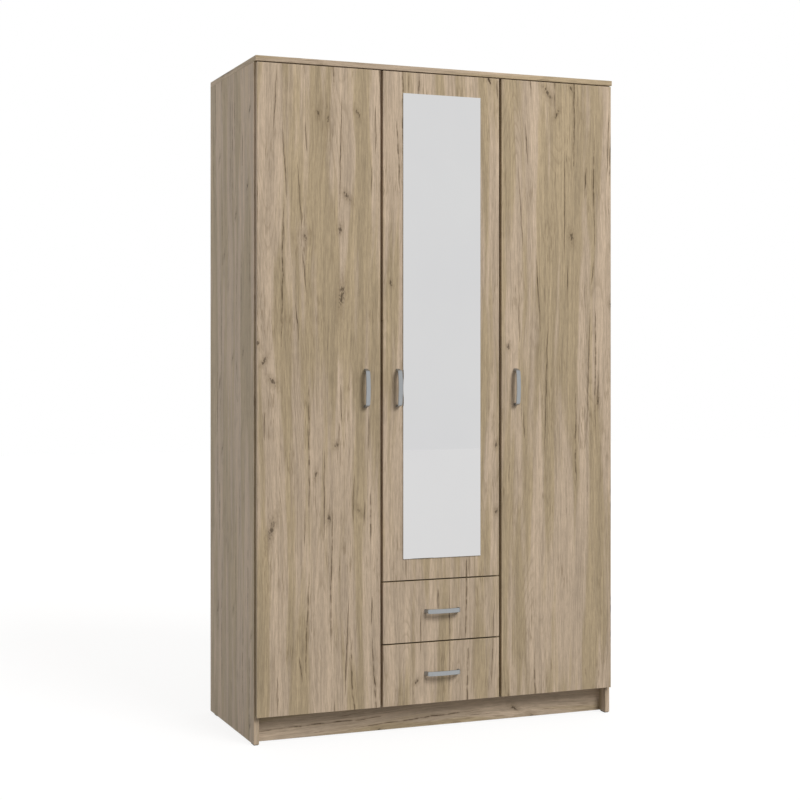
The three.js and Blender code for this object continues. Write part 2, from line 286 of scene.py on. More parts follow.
FRONT_KNOTS = (
    (-313, 1643, 8, 14, 0.5), (-405, 1886, 5, 10, 0.1), (-374, 1872, 4, 12, 0), (-547, 1081, 9, 14, 0.6),
    (-574, 1144, 6, 14, -0.5), (-346, 890, 7, 9, -0.3), (-335, 1542, 6, 14, 0), (-330, 1340, 9, 40, -0.1),
    (-550, 645, 8, 34, -0.25), (-370, 669, 6, 15, -0.1), (-413, 798, 4, 14, -0.2),
    (366, 1997, 9, 20, 0.6), (400, 1931, 6, 14, -0.5), (450, 2015, 6, 10, 0.3), (452, 1539, 7, 18, 0.1),
    (548, 1015, 5, 16, 0), (228, 1189, 6, 11, 0.1), (-170, 1382, 5, 9, 0.2), (185, 879, 6, 10, 0),
    (185, 672, 6, 10, 0), (-85, 155, 6, 8, -0.6),
)
RANDOM_MARKS_ON_FRONTS = 0.4


def split_distance(graph, side, along, half_length, half_width):
    """Distance from a split's middle line, in half widths of the split as it tapers to its two ends."""
    place = graph.over(along, half_length)
    taper = graph.math("SUBTRACT", 1.0, graph.times(place, place), clamp=True)
    width = graph.math("MAXIMUM", graph.times(taper, half_width), 1e-5)
    return graph.over(graph.math("ABSOLUTE", side), width)


def split_masks(graph, distance, ragged):
    """The dark split itself, and the soft brown band of painted shade along it."""
    split = graph.smooth(graph.plus(distance, ragged), 1.0, 0.3)
    # The band is painted shade along the split
    band = graph.smooth(distance, 3.6, 1.0)
    return split, band


def in_cells(graph, across, along, cell):
    """Offsets in metres from the nearest cell's centre, and three random values for the cell."""
    scaled = graph.vector(graph.over(across, cell[0]), graph.over(along, cell[1]))
    offset, colour = graph.cells(scaled)
    here = graph.split(offset)
    side = graph.times(here[0], cell[0])
    length = graph.times(here[1], cell[1])
    return side, length, graph.split(colour)


def random_splits(graph, across, along, ragged, cell, reach, half_width, presence, slant):
    """At most one split in each cell of size (across, along): its dark line and its soft band of painted
    shade.
    """
    side, length, random = in_cells(graph, across, along, cell)
    lean = graph.swing(random[1], 2 * slant)
    wobble_at = graph.vector(graph.times(along, 16.0), graph.times(random[2], 40.0))
    wobble = graph.swing(graph.noise(wobble_at), 7 * MM)
    leaned = graph.plus(graph.math("MULTIPLY_ADD", length, lean, side), wobble)
    half_length = graph.smooth(random[2], 0.0, 1.0, reach * 0.35, reach)
    fade_at = graph.vector(graph.times(along, 34.0), graph.times(random[0], 60.0))
    fade = graph.smooth(graph.noise(fade_at), 0.3, 0.6, 0.3, 1.0)
    shown = graph.times(graph.math("LESS_THAN", random[0], presence), fade)
    distance = split_distance(graph, leaned, length, half_length, half_width)
    return [graph.times(mask, shown) for mask in split_masks(graph, distance, ragged)]


def knot_distance(graph, side, along, size, lean, ragged):
    """Distance from a knot's centre in knot radii, with a ragged outline."""
    leaned = graph.math("MULTIPLY_ADD", along, lean, side)
    wide = graph.over(leaned, size[0])
    tall = graph.over(along, size[1])
    squares = graph.plus(graph.times(wide, wide), graph.times(tall, tall))
    return graph.plus(graph.math("SQRT", squares), ragged)


def make_oak_decor():
    """Node group from a place on the board, in metres across and along the grain, to the printed decor."""
    tree = bpy.data.node_groups.new("oak_decor", "ShaderNodeTree")
    for name in ("Across", "Along", "Marks"):
        tree.interface.new_socket(name, in_out="INPUT", socket_type="NodeSocketFloat")
    for name, kind in (("Color", "Color"), ("Roughness", "Float"), ("Height", "Float")):
        tree.interface.new_socket(name, in_out="OUTPUT", socket_type="NodeSocket" + kind)
    graph = Graph(tree)
    given = graph.node("NodeGroupInput").outputs
    across, along = given["Across"], given["Along"]

    def stretched(place, per_metre_across, per_metre_along, detail=2.0, roughness=0.5):
        """Noise with these numbers of waves to the metre across and along the grain."""
        x = graph.times(place, per_metre_across)
        y = graph.times(along, per_metre_along)
        return graph.noise(graph.vector(x, y), detail, roughness)

    # Knots, and the grain that bends round them
    knot_cell = (0.15, 0.36)
    bent_width, bent_length = 0.02, 0.07
    knot_side, knot_length, random = in_cells(graph, across, along, knot_cell)
    shown = graph.math("LESS_THAN", random[0], graph.times(given["Marks"], 0.6))
    wide = graph.over(knot_side, bent_width)
    tall = graph.over(knot_length, bent_length)
    spread = graph.plus(graph.times(wide, wide), graph.times(tall, tall))
    fall = graph.math("EXPONENT", graph.times(spread, -1.0))
    push = graph.times(graph.times(knot_side, fall), graph.times(shown, 0.6))

    # The grain runs nearly straight, with slow and quick bends
    slow = graph.swing(stretched(across, 1.8, 0.9, 1.0), 50 * MM)
    quick = graph.swing(stretched(across, 11.0, 3.4, 1.0), 8 * MM)
    grain = graph.plus(graph.math("SUBTRACT", across, push), graph.plus(slow, quick))

    # Bands of pinkish and olive wood with quite crisp edges, and lighter and darker ones over them
    tint = graph.smooth(stretched(grain, 14.0, 0.9, 3.0, 0.6), 0.43, 0.57)
    base = graph.mix(tint, OAK_OLIVE, OAK_PINK)
    light = graph.smooth(stretched(graph.plus(grain, 7.3), 30.0, 1.5, 3.0, 0.6), 0.3, 0.7, 0.88, 1.08)
    streak = stretched(grain, 150.0, 3.2, 4.0, 0.72)
    fibre = stretched(grain, 700.0, 16.0, 2.0, 0.6)
    line = stretched(graph.plus(grain, 1.9), 330.0, 26.0, 3.0, 0.65)
    lines = graph.smooth(line, 0.32, 0.68, -0.11, 0.085)
    fibres = graph.smooth(fibre, 0.2, 0.8, -0.05, 0.05)
    soft = graph.plus(lines, fibres)
    fine = graph.plus(graph.smooth(streak, 0.3, 0.7, 0.86, 1.11), soft)
    shade = graph.times(light, fine)
    streaked = graph.mix(1.0, base, graph.grey(shade), "MULTIPLY")

    # Flame figure: contour lines of a long slow swell, shown in places
    swell = stretched(grain, 6.0, 0.6, 1.0)
    ring = graph.math("FRACT", graph.times(swell, 42.0))
    flame = graph.times(graph.smooth(ring, 0.0, 0.1), graph.smooth(ring, 0.45, 0.1))
    flame_place = graph.smooth(stretched(graph.plus(grain, 3.1), 9.0, 2.4, 1.0), 0.52, 0.66, 0.0, 0.26)
    flames = graph.times(flame, flame_place)

    # Clumps of short dark strokes
    clump = graph.smooth(stretched(graph.plus(grain, 5.7), 16.0, 5.0, 2.0), 0.53, 0.7, 0.0, 0.6)
    stroke = graph.smooth(stretched(grain, 300.0, 20.0, 2.0), 0.5, 0.68)
    patch = graph.math("MAXIMUM", flames, graph.times(stroke, clump))
    clouded = graph.mix(patch, streaked, OAK_DARK)

    # Long splits, short dashes and knots
    ragged = graph.smooth(fibre, 0.2, 0.8, -0.35, 0.5)
    many, some = graph.times(given["Marks"], 0.8), graph.times(given["Marks"], 0.26)
    split, shadow = random_splits(graph, grain, along, ragged, (0.075, 0.5), 0.25, 0.0022, many, 0.03)
    dash = random_splits(graph, grain, along, ragged, (0.04, 0.15), 0.045, 0.0014, some, 0.1)[0]
    marks = graph.math("MAXIMUM", graph.times(split, 0.95), graph.times(dash, 0.7))
    knot_edge = graph.smooth(stretched(across, 160.0, 90.0), 0.2, 0.8, -0.55, 0.55)
    knot_far = knot_distance(graph, knot_side, knot_length, (0.0062, 0.0125), 0.45, knot_edge)
    strength = graph.smooth(random[1], 0.0, 1.0, 0.3, 0.95)
    core = graph.times(graph.smooth(knot_far, 1.0, 0.1), graph.times(shown, strength))
    halo = graph.times(graph.smooth(knot_far, 3.2, 0.6), graph.times(shown, 0.35))
    # Painted shade: the soft band along each long split darkens the wood
    shaded = graph.mix(graph.times(shadow, 0.4), clouded, OAK_DARK)
    marked = graph.mix(marks, shaded, CRACK)
    haloed = graph.mix(halo, marked, OAK_DARK)
    finished = graph.mix(core, haloed, KNOT)

    pores = graph.smooth(stretched(grain, 1500.0, 70.0, 1.0), 0.62, 0.75)
    pored = graph.mix(graph.times(pores, 0.14), finished, CRACK)
    dark = graph.math("MAXIMUM", marks, core)
    height = graph.math("MULTIPLY_ADD", pores, -0.35, graph.math("MULTIPLY_ADD", dark, -1.0, fibre))
    roughness = graph.plus(graph.smooth(streak, 0.2, 0.8, 0.52, 0.6), graph.times(dark, 0.15))
    graph.node("NodeGroupOutput", {"Color": pored, "Roughness": roughness, "Height": height})
    return tree


def add_front_marks(graph, place, base):
    """Draws the listed splits and knots of the fronts over a decor colour, with painted shade in a soft band
    along each split.
    """
    x, z = place[0], place[2]

    def noise(per_metre_x, per_metre_z):
        u = graph.times(x, per_metre_x)
        v = graph.times(z, per_metre_z)
        return graph.noise(graph.vector(u, v))

    wobbled = graph.plus(graph.swing(noise(7.0, 16.0), 6 * MM), x)
    ragged = graph.smooth(noise(700.0, 16.0), 0.2, 0.8, -0.35, 0.5)
    nearest_split = 100.0
    for top_x, top, foot_x, foot, width in FRONT_SPLITS:
        lean = (top_x - foot_x) / (top - foot)
        along = graph.math("SUBTRACT", z, (top + foot) / 2 * MM)
        middle = graph.math("MULTIPLY_ADD", along, lean, (top_x + foot_x) / 2 * MM)
        side = graph.math("SUBTRACT", wobbled, middle)
        distance = split_distance(graph, side, along, (top - foot) / 2 * MM, width / 2 * MM)
        nearest_split = graph.math("MINIMUM", nearest_split, distance)
    splits, split_shade = split_masks(graph, nearest_split, ragged)
    edge = graph.smooth(noise(160.0, 90.0), 0.2, 0.8, -0.55, 0.55)
    nearest = 10.0
    for centre_x, centre_z, wide, tall, lean in FRONT_KNOTS:
        side = graph.math("SUBTRACT", x, centre_x * MM)
        along = graph.math("SUBTRACT", z, centre_z * MM)
        distance = knot_distance(graph, side, along, (wide * MM, tall * MM), lean, edge)
        nearest = graph.math("MINIMUM", nearest, distance)
    fade = graph.smooth(noise(9.0, 34.0), 0.3, 0.6, 0.55, 0.95)
    # Painted shade: a soft band along each listed split
    shaded = graph.mix(graph.times(split_shade, 0.35), base, OAK_DARK)
    split = graph.mix(graph.times(splits, fade), shaded, CRACK)
    haloed = graph.mix(graph.smooth(nearest, 3.0, 0.6, 0.0, 0.38), split, OAK_DARK)
    return graph.mix(graph.smooth(nearest, 1.0, 0.1, 0.0, 0.75), haloed, KNOT)


def make_oak(name, decor, along_axis, shift, on_front=False):
    """The decor with its grain along one axis; the two other axes together run across it."""
    material, graph, shader, place = new_material(name)
    place = graph.split(place)
    others = [axis for axis in range(3) if axis != along_axis]
    across = graph.plus(graph.plus(place[others[0]], place[others[1]]), shift[0])
    along = graph.plus(place[along_axis], shift[1])
    marks = RANDOM_MARKS_ON_FRONTS if on_front else 1.0
    values = {"Across": across, "Along": along, "Marks": marks}
    group = graph.node("ShaderNodeGroup", values, node_tree=decor)
    colour = add_front_marks(graph, place, group.outputs["Color"]) if on_front else group.outputs["Color"]
    graph.coat(shader, colour, group.outputs["Roughness"])
    graph.bump(shader, group.outputs["Height"], 0.35, 0.15 * MM)
    shader.inputs["Specular IOR Level"].default_value = 0.35
    return material


def make_hardboard():
    """Thin pressed-fibre sheet: brown, clouded, with long fibres and fine flecks."""
    material, graph, shader, place = new_material("hardboard")
    fleck = graph.texture(place, 900.0, 3.0, Roughness=0.7)
    cloud = graph.texture(place, 9.0, 5.0, Roughness=0.6)
    shred = graph.texture(place, 160.0, 4.0, Distortion=1.5)
    tones = [(0.3, srgb(140, 114, 82)), (0.5, srgb(166, 140, 106)), (0.7, srgb(186, 162, 130))]
    flecked = graph.ramp(fleck, tones)
    fibred = graph.mix(graph.smooth(shred, 0.52, 0.68, 0.0, 0.4), flecked, HARDBOARD_DARK)
    toned = graph.mix(graph.smooth(cloud, 0.35, 0.65, 0.0, 0.55), fibred, HARDBOARD_DARK)
    graph.coat(shader, toned, graph.smooth(fleck, 0.3, 0.7, 0.7, 0.85))
    graph.bump(shader, fleck, 0.3, 0.1 * MM)
    return material


def make_metal(name, colour, rough_low, rough_high, brush):
    """Metal with fine brushing along one direction, given as the noise scale on X, Y and Z."""
    material, graph, shader, place = new_material(name)
    scaled = graph.node("ShaderNodeVectorMath", {0: place, 1: brush}, operation="MULTIPLY")
    hair = graph.texture(scaled.outputs[0], 1.0, 3.0, Roughness=0.6)
    smear = graph.texture(place, 45.0, 2.0)
    tint = graph.grey(graph.smooth(hair, 0.3, 0.7, 0.93, 1.05))
    shader.inputs["Metallic"].default_value = 1.0
    mixed = graph.math("MULTIPLY_ADD", smear, 0.5, graph.times(hair, 0.5))
    rough = graph.smooth(mixed, 0.35, 0.65, rough_low, rough_high)
    graph.coat(shader, graph.mix(1.0, colour, tint, "MULTIPLY"), rough)
    graph.bump(shader, hair, 0.15, 0.03 * MM)
    return material


def make_plastic(name, colour, roughness):
    """Moulded plastic with a fine spark-eroded grain."""
    material, graph, shader, place = new_material(name)
    grain = graph.texture(place, 1800.0, 2.0)
    wear = graph.texture(place, 60.0, 3.0)
    lighter = tuple(min(1.0, channel * 1.25) for channel in colour[:3]) + (1.0,)
    worn = graph.mix(graph.smooth(wear, 0.4, 0.7, 0.0, 0.5), colour, lighter)
    spread = 0.06
    graph.coat(shader, worn, graph.smooth(grain, 0.3, 0.7, roughness - spread, roughness + spread))
    graph.bump(shader, grain, 0.2, 0.03 * MM)
    return material


def make_mirror():
    """Silvered glass: a near-perfect reflector with the faintest haze."""
    material, graph, shader, place = new_material("mirror_silver")
    haze = graph.texture(place, 3.0, 4.0)
    tint = graph.ramp(haze, [(0.3, srgb(212, 212, 213)), (0.7, srgb(215, 215, 215))])
    shader.inputs["Metallic"].default_value = 1.0
    graph.coat(shader, tint, graph.smooth(haze, 0.3, 0.7, 0.012, 0.03))
    return material


# ---- mesh helpers

EDGE_RADIUS = 0.9 * MM
FINE_EDGE_RADIUS = 0.5 * MM
SHEET_EDGE_RADIUS = 0.3 * MM
SHARP_ANGLE = math.radians(40)
# A face is a board's end when its normal lies along the grain by more than this share
END_SHARE = 0.7
TINY = 1e-6


def add_piece(name, bm, materials, body, replaced=()):
    """Turns a bmesh into a piece that rides on a body and may stand for CAD nodes."""
    bmesh.ops.recalc_face_normals(bm, faces=bm.faces[:])
    mesh = bpy.data.meshes.new(name)
    bm.to_mesh(mesh)
    bm.free()
    for material in materials:
        mesh.materials.append(material)
    piece = bpy.data.objects.new(name, mesh)
    bpy.context.scene.collection.objects.link(piece)
    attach(piece, body)
    if replaced:
        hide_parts(*replaced)
    return piece


def smooth_edges(piece, angle=35):
    """Smooth shading that keeps broad faces flat and true."""
    mesh = piece.data
    mesh.shade_smooth()
    mesh.set_sharp_from_angle(angle=math.radians(angle))
    piece.modifiers.new("flat_faces", "WEIGHTED_NORMAL").keep_sharp = True


def stand_in(node, suffix, bm, material, angle=35):
    """A smooth piece of one material that stands for a CAD node."""
    smooth_edges(add_piece(node + suffix, bm, (material,), BODY_OF[node], [node]), angle)


def cad_copy(node):
    """The CAD node's shape as a bmesh of clean flat faces."""
    bm = bmesh.new()
    bm.from_mesh(frame["nodes"][node].data)
    bmesh.ops.remove_doubles(bm, verts=bm.verts[:], dist=1e-5)
    bmesh.ops.dissolve_limit(bm, angle_limit=math.radians(0.5), verts=bm.verts[:], edges=bm.edges[:])
    return bm


def round_edges(bm, radius, segments=3):
    """Rounds every edge where two faces meet at more than SHARP_ANGLE."""
    shared = [edge for edge in bm.edges if len(edge.link_faces) == 2]
    sharp = [edge for edge in shared if edge.calc_face_angle() > SHARP_ANGLE]
    bmesh.ops.bevel(
        bm, geom=sharp, offset=radius, offset_type="OFFSET", segments=segments, profile=0.5, affect="EDGES",
        clamp_overlap=True,
    )


def add_board(node, grain_axis, materials, radius=EDGE_RADIUS):
    """A laminated board: the CAD shape with softened edges, the decor along grain_axis and banded ends.

    materials are the decor along X, Y and Z. On an end band the grain runs along the band's longer side.
    """
    bm = cad_copy(node)
    round_edges(bm, radius)
    low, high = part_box(node)
    others = [axis for axis in range(3) if axis != grain_axis]
    band_axis = max(others, key=lambda axis: high[axis] - low[axis])
    for face in bm.faces:
        face.material_index = 1 if abs(face.normal[grain_axis]) > END_SHARE else 0
    pair = (materials[grain_axis], materials[band_axis])
    smooth_edges(add_piece(node + "_board", bm, pair, BODY_OF[node], [node]))


def add_rounded(node, material, radius, segments=3):
    """A CAD node's shape with rounded edges in one material."""
    bm = cad_copy(node)
    round_edges(bm, radius, segments)
    stand_in(node, "_piece", bm, material)


def circle(centre, radius, count, start=0.0, turn=2 * math.pi):
    """Points on a circle, or on an arc of it when turn is less than a full turn."""
    full = abs(turn - 2 * math.pi) < TINY
    steps = count if full else count - 1
    angles = [start + turn * i / steps for i in range(count)]
    return [(centre[0] + radius * math.cos(a), centre[1] + radius * math.sin(a)) for a in angles]


def rounded_rectangle(half_u, half_v, radius, count=6):
    """Outline of a rectangle about the origin, with count points on each corner."""
    corners = [(1, 1, 0), (-1, 1, 90), (-1, -1, 180), (1, -1, 270)]
    points = []
    for sign_u, sign_v, start in corners:
        centre = (sign_u * (half_u - radius), sign_v * (half_v - radius))
        points += circle(centre, radius, count, math.radians(start), math.radians(90))
    return points


def add_ring(bm, place, points, height):
    """Vertices at (u, v) points of a place's XY plane, at one height over it."""
    return [bm.verts.new(place @ Vector((u, v, height))) for u, v in points]


def join(bm, first, second):
    """A band of faces between two rings with the same number of vertices."""
    for i in range(len(first)):
        bm.faces.new((first[i - 1], first[i], second[i], second[i - 1]))


def loft(bm, rings):
    """A closed skin over a row of rings."""
    for first, second in zip(rings, rings[1:]):
        join(bm, first, second)
    bm.faces.new(rings[0])
    bm.faces.new(rings[-1])


def fill(bm, rings, normal):
    """Flat faces between an outline and the holes in it."""
    edges = [bm.edges.new((ring[i - 1], ring[i])) for ring in rings for i in range(len(ring))]
    bmesh.ops.triangle_fill(bm, use_beauty=True, edges=edges, normal=normal)


def add_slab(bm, outline, holes, low, high, place):
    """A flat plate with holes, drawn in a place's XY plane, its faces at heights low and high."""
    layers = []
    for height, up in ((low, -1), (high, 1)):
        rings = [add_ring(bm, place, loop, height) for loop in (outline, *holes)]
        fill(bm, rings, place.to_3x3() @ Vector((0, 0, up)))
        layers.append(rings)
    for bottom, top in zip(*layers):
        join(bm, bottom, top)


def add_lathe(bm, profile, place, count):
    """Turns a profile of (radius, height) points about the Z axis of a place; points on the axis close it."""
    rings = []
    for radius, height in profile:
        points = [(0, 0)] if radius < TINY else circle((0, 0), radius, count)
        rings.append(add_ring(bm, place, points, height))
    for lower, upper in zip(rings, rings[1:]):
        if len(lower) == len(upper) == 1:
            continue
        for i in range(count):
            j = (i + 1) % count
            below = [lower[k % len(lower)] for k in (i, j)]
            above = [upper[k % len(upper)] for k in (j, i)]
            bm.faces.new(list(dict.fromkeys(below + above)))


def facing(origin, normal):
    """A place whose Z axis points along a normal."""
    turn = Vector(normal).to_track_quat("Z", "Y").to_matrix().to_4x4()
    return Matrix.Translation(origin) @ turn


def facing_rear(x, z):
    """A place at world y = 0 whose Z axis is world +Y, so that heights on it are world Y."""
    return Matrix.Translation((x, 0, z)) @ Matrix.Rotation(math.radians(-90), 4, "X")


# ---- screws and rods

SCREW_SIDES = 24
ROD_SIDES = 20


def add_screw(bm, origin, normal, radius, height):
    """A pan-head cross-recess screw, its head standing on origin."""
    place = facing(origin, normal)
    arm, thin = 0.62 * radius, 0.17 * radius
    cross = [
        (arm, -thin), (arm, thin), (thin, thin), (thin, arm), (-thin, arm), (-thin, thin),
        (-arm, thin), (-arm, -thin), (-thin, -thin), (-thin, -arm), (thin, -arm), (thin, -thin),
    ]
    depth = 0.75 * height
    top = add_ring(bm, place, circle((0, 0), 0.82 * radius, SCREW_SIDES), height)
    slot = add_ring(bm, place, cross, height)
    pit = add_ring(bm, place, [(u * 0.8, v * 0.8) for u, v in cross], height - depth)
    fill(bm, (top, slot), place.to_3x3() @ Vector((0, 0, 1)))
    join(bm, slot, pit)
    bm.faces.new(pit)
    shoulder = [(0.94 * radius, 0.88 * height), (radius, 0.6 * height), (radius, 0.0)]
    previous = top
    for ring_radius, ring_height in shoulder:
        ring = add_ring(bm, place, circle((0, 0), ring_radius, SCREW_SIDES), ring_height)
        join(bm, previous, ring)
        previous = ring
    bm.faces.new(previous)


def add_rod(bm, centre, axis, radius, length):
    """A round rod with chamfered ends."""
    half = length / 2
    chamfer = radius * 0.25
    profile = [
        (0, -half), (radius - chamfer, -half), (radius, -half + chamfer), (radius, half - chamfer),
        (radius - chamfer, half), (0, half),
    ]
    add_lathe(bm, profile, facing(centre, axis), ROD_SIDES)


# ---- handles

HANDLE_BAR = 4.6 * MM
HANDLE_FOOT_HALF = 4.2 * MM
HANDLE_CORNER = 9 * MM
HANDLE_BOW = 3.4 * MM
HANDLE_LEG_LEAN = 1.8 * MM
HANDLE_EDGE = 1.7 * MM
HANDLE_SECTION_STEPS = 5
HANDLE_LEG_STEPS = 4
HANDLE_BEND_STEPS = 10
HANDLE_SCREW_REACH = 48 * MM
# Half thickness of the leg where it meets the bend, and what it loses round the bend, as shares of the bar
LEG_SHARE = 0.6
BEND_LOSS = 0.1


def handle_profile(half, reach):
    """Middle line of the bow from foot to foot, as (along, out, half thickness) stations."""
    shoulder = reach - HANDLE_BAR / 2 - HANDLE_BOW
    foot_along = half - HANDLE_FOOT_HALF
    leg_along = foot_along - HANDLE_LEG_LEAN
    leg_out = shoulder - HANDLE_CORNER
    leg_half = HANDLE_BAR * LEG_SHARE
    side = []
    for step in range(HANDLE_LEG_STEPS + 1):
        part = step / HANDLE_LEG_STEPS
        along = foot_along + (leg_along - foot_along) * part
        side.append((along, leg_out * part, HANDLE_FOOT_HALF + (leg_half - HANDLE_FOOT_HALF) * part))
    for step in range(1, HANDLE_BEND_STEPS + 1):
        part = step / HANDLE_BEND_STEPS
        angle = math.radians(90) * part
        along = leg_along - HANDLE_CORNER * (1 - math.cos(angle))
        out = leg_out + HANDLE_CORNER * math.sin(angle)
        side.append((along, out, HANDLE_BAR * (LEG_SHARE - BEND_LOSS * part)))
    flat = leg_along - HANDLE_CORNER
    for step in range(1, HANDLE_BEND_STEPS + 1):
        along = flat * (1 - step / HANDLE_BEND_STEPS)
        side.append((along, shoulder + HANDLE_BOW * (1 - (along / flat) ** 2), HANDLE_BAR / 2))
    return side + [(-along, out, thick) for along, out, thick in reversed(side[:-1])]


def add_handle(node, material):
    """A bow handle swept in the box of its CAD node, its bar facing -Y."""
    low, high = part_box(node)
    centre = (low + high) / 2
    size = high - low
    upright = size.z > size.x
    half = (size.z if upright else size.x) / 2
    width = (size.x if upright else size.z) / 2
    stations = handle_profile(half, size.y)
    last = len(stations) - 1
    bm = bmesh.new()
    rings = []
    for index, (along, out, thick) in enumerate(stations):
        before = stations[max(index - 1, 0)]
        after = stations[min(index + 1, last)]
        run = Vector((after[0] - before[0], after[1] - before[1])).normalized()
        if index in (0, last):
            run = Vector((0, 1 if index == 0 else -1))
        across = Vector((-run.y, run.x))
        # The legs widen from the foot outwards
        wide = width * (0.84 + 0.16 * min(1.0, out / (0.8 * size.y)))
        ring = []
        for u, v in rounded_rectangle(thick, wide, min(thick, HANDLE_EDGE), HANDLE_SECTION_STEPS):
            a = along + across.x * u
            y = high.y - (out + across.y * u)
            point = (centre.x + v, y, centre.z + a) if upright else (centre.x + a, y, centre.z + v)
            ring.append(bm.verts.new(point))
        rings.append(ring)
    loft(bm, rings)
    stand_in(node, "_bow", bm, material, 50)


def add_handle_screws(node, panel, material):
    """The two screws that hold a handle, seen on the inner face of its door or drawer front."""
    low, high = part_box(node)
    centre = (low + high) / 2
    upright = high.z - low.z > high.x - low.x
    inner_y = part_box(panel)[1].y
    bm = bmesh.new()
    for step in (-HANDLE_SCREW_REACH, HANDLE_SCREW_REACH):
        place = (centre.x, inner_y, centre.z + step) if upright else (centre.x + step, inner_y, centre.z)
        add_screw(bm, place, (0, 1, 0), 3.8 * MM, 1.4 * MM)
    smooth_edges(add_piece(node + "_screws", bm, (material,), BODY_OF[node]))


# ---- concealed hinges

CUP_RIM = 19 * MM
CUP_HOLLOW = 15.4 * MM
CUP_BODY = 17.3 * MM
CUP_FLANGE = 0.7 * MM
CUP_SIDES = 40
EAR_OFFSET = 8 * MM
EAR_REACH = 24 * MM
EAR_RADIUS = 6.9 * MM
EAR_SIDES = 24
LINK_LEAN = 18
WALL_GAP = 0.3 * MM
PLATE_MIDDLE = 35.5 * MM
PLATE_TOP = 2.6 * MM
PLATE_SCREW_REACH = 16 * MM
BLOCK_TOP = 7.0 * MM
ARM_REAR_HEIGHT = 17 * MM
ARM_HALF = 6.8 * MM
ARM_SKIN = 1.3 * MM
ARM_DEPTH = 6.0 * MM
ARM_BEND = 1.2 * MM
ARM_CLEARANCE = 2.8 * MM


def add_hinge_cup(node, steel, hinge_side):
    """The cup let into a door: flange with two screws, hollow cup, pin and the ends of the links."""
    low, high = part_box(node)
    centre_z = (low.z + high.z) / 2
    # The rim reaches the box's side at the hinge edge; the ears lie on the other side of the cup's centre
    centre_x = high.x - CUP_RIM if hinge_side > 0 else low.x + CUP_RIM
    face_y, bottom_y = high.y, low.y
    seat = face_y - CUP_FLANGE
    place = facing_rear(centre_x, centre_z)
    ear = -hinge_side * EAR_OFFSET
    points = circle((0, 0), CUP_RIM, CUP_SIDES)
    for sign in (-1, 1):
        points += circle((ear, sign * EAR_REACH), EAR_RADIUS, EAR_SIDES)
    bm = bmesh.new()
    hollow = circle((0, 0), CUP_HOLLOW, CUP_SIDES)
    add_slab(bm, convex_outline(points), [hollow], seat, face_y, place)
    floor_y = bottom_y + 1 * MM
    profile = [
        (CUP_HOLLOW, seat), (CUP_HOLLOW, bottom_y + 4 * MM), (CUP_HOLLOW - 1.2 * MM, bottom_y + 2 * MM),
        (CUP_HOLLOW - 3.4 * MM, floor_y), (0, floor_y), (0, bottom_y), (15 * MM, bottom_y),
        (CUP_BODY, bottom_y + 2.4 * MM), (CUP_BODY, seat), (CUP_HOLLOW, seat),
    ]
    add_lathe(bm, profile, place, CUP_SIDES)
    for sign in (-1, 1):
        spot = place @ Vector((ear, sign * EAR_REACH, face_y))
        add_screw(bm, spot, (0, 1, 0), 4.0 * MM, 0.9 * MM)
    pin = place @ Vector((-hinge_side * 5 * MM, 0, bottom_y + 5 * MM))
    add_rod(bm, pin, (0, 0, 1), 1.6 * MM, 13 * MM)
    # The two links lie in the cup and point to the hinge edge
    link = rounded_rectangle(11 * MM, 2.6 * MM, 2.5 * MM)
    lean = Matrix.Rotation(math.radians(-LINK_LEAN * hinge_side), 4, "Z")
    over = Matrix.Rotation(math.radians(180), 4, "X")
    for sign in (-1, 1):
        spot = (centre_x + hinge_side * 4 * MM, bottom_y + 6.6 * MM, centre_z + sign * 5.2 * MM)
        add_slab(bm, link, [], -0.8 * MM, 0.8 * MM, Matrix.Translation(spot) @ lean @ over)
    stand_in(node, "_cup", bm, steel)


def convex_outline(points):
    """Corners of the convex hull, counter-clockwise."""
    points = sorted({(round(u, 7), round(v, 7)) for u, v in points})

    def half_hull(ordered):
        hull = []
        for point in ordered:
            while len(hull) > 1 and turn_of(hull[-2], hull[-1], point) <= 0:
                hull.pop()
            hull.append(point)
        return hull[:-1]

    return half_hull(points) + half_hull(points[::-1])


def turn_of(a, b, c):
    """Above zero when the way from a over b to c turns left."""
    return (b[0] - a[0]) * (c[1] - a[1]) - (b[1] - a[1]) * (c[0] - a[0])


